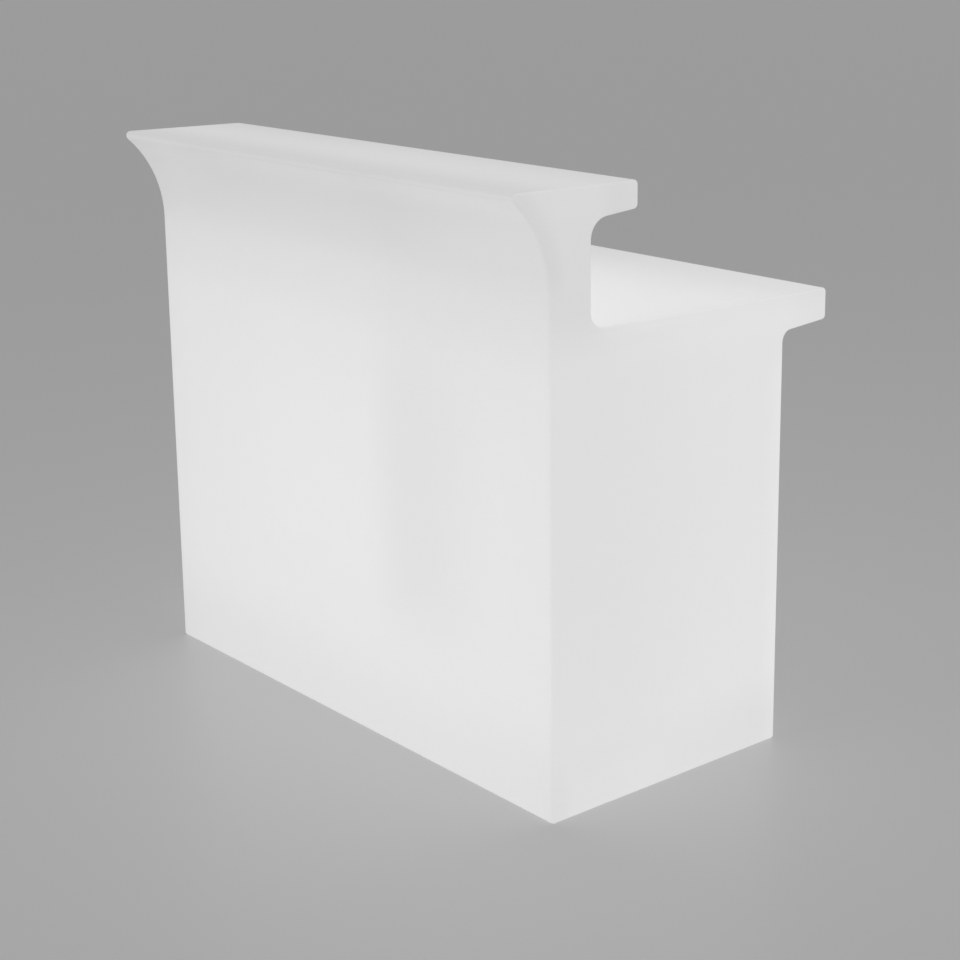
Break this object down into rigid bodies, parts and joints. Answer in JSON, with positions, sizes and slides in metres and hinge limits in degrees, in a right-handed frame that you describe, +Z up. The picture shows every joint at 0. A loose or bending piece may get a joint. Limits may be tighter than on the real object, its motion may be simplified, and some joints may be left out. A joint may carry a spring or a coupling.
{
  "type": "illuminated bar counter",
  "caption": "Glowing moulded bar counter with a flared front, raised bar top, lower working counter and an open storage niche with a shelf on the staff side.",
  "frame": {"origin": "on the floor, at the bottom centre of the bar's box", "axes": "+X along the bar, +Y towards the staff side, +Z up; guests stand at -Y"},
  "size_m": [1.2374, 0.7462, 1.1],
  "materials": {
    "polyethylene": "translucent white polyethylene, fine moulded texture, lit from inside",
    "shelf_laminate": "white compact laminate, satin",
    "cover_plastic": "opal white moulded plastic, satin",
    "rubber": "black rubber",
    "screw_steel": "stainless steel",
    "bracket_steel": "white powder coat",
    "holder_plastic": "white thermoplastic",
    "bulb_housing": "white plastic housing over a nickel screw cap",
    "opal_globe": "opal diffuser",
    "brass": "turned brass",
    "nylon": "light grey nylon"
  },
  "bodies": {
    "bar": {"bar_body": "polyethylene", "cover_inserts": "brass", "foot_inserts": "brass", "gland_body": "nylon", "gland_locknut": "nylon", "gland_seal": "rubber", "gland_cap": "nylon"},
    "shelf": {"storage_shelf": "shelf_laminate"},
    "light_left": {"light_cover_left": "cover_plastic", "cover_gasket_left": "rubber", "cover_screws_left": "screw_steel", "lamp_bracket_left": "bracket_steel", "bracket_screws_left": "screw_steel", "lamp_holder_left": "holder_plastic", "holder_nut_left": "screw_steel"},
    "bulb_left": {"bulb_base_left": "bulb_housing", "bulb_globe_left": "opal_globe"},
    "light_centre": {"light_cover_centre": "cover_plastic", "cover_gasket_centre": "rubber", "cover_screws_centre": "screw_steel", "lamp_bracket_centre": "bracket_steel", "bracket_screws_centre": "screw_steel", "lamp_holder_centre": "holder_plastic", "holder_nut_centre": "screw_steel"},
    "bulb_centre": {"bulb_base_centre": "bulb_housing", "bulb_globe_centre": "opal_globe"},
    "light_right": {"light_cover_right": "cover_plastic", "cover_gasket_right": "rubber", "cover_screws_right": "screw_steel", "lamp_bracket_right": "bracket_steel", "bracket_screws_right": "screw_steel", "lamp_holder_right": "holder_plastic", "holder_nut_right": "screw_steel"},
    "bulb_right": {"bulb_base_right": "bulb_housing", "bulb_globe_right": "opal_globe"},
    "foot_front_left": {"foot_pad_front_left": "rubber", "foot_stud_front_left": "screw_steel"},
    "foot_front_right": {"foot_pad_front_right": "rubber", "foot_stud_front_right": "screw_steel"},
    "foot_back_left": {"foot_pad_back_left": "rubber", "foot_stud_back_left": "screw_steel"},
    "foot_back_right": {"foot_pad_back_right": "rubber", "foot_stud_back_right": "screw_steel"}
  },
  "joints": [
    {"name": "shelf_slide", "type": "slide", "parent": "bar", "child": "shelf", "axis": [0, 1, 0], "range_m": [0, 0.4]},
    {"name": "light_pull_left", "type": "slide", "parent": "bar", "child": "light_left", "axis": [0, 1, 0], "range_m": [0, 0.15]},
    {"name": "bulb_unscrew_left", "type": "slide", "parent": "light_left", "child": "bulb_left", "axis": [0, 0, 1], "range_m": [0, 0.026]},
    {"name": "light_pull_centre", "type": "slide", "parent": "bar", "child": "light_centre", "axis": [0, 1, 0], "range_m": [0, 0.15]},
    {"name": "bulb_unscrew_centre", "type": "slide", "parent": "light_centre", "child": "bulb_centre", "axis": [0, 0, 1], "range_m": [0, 0.026]},
    {"name": "light_pull_right", "type": "slide", "parent": "bar", "child": "light_right", "axis": [0, 1, 0], "range_m": [0, 0.15]},
    {"name": "bulb_unscrew_right", "type": "slide", "parent": "light_right", "child": "bulb_right", "axis": [0, 0, 1], "range_m": [0, 0.026]},
    {"name": "foot_level_front_left", "type": "slide", "parent": "bar", "child": "foot_front_left", "axis": [0, 0, -1], "range_m": [0, 0.015]},
    {"name": "foot_level_front_right", "type": "slide", "parent": "bar", "child": "foot_front_right", "axis": [0, 0, -1], "range_m": [0, 0.015]},
    {"name": "foot_level_back_left", "type": "slide", "parent": "bar", "child": "foot_back_left", "axis": [0, 0, -1], "range_m": [0, 0.015]},
    {"name": "foot_level_back_right", "type": "slide", "parent": "bar", "child": "foot_back_right", "axis": [0, 0, -1], "range_m": [0, 0.015]}
  ]
}
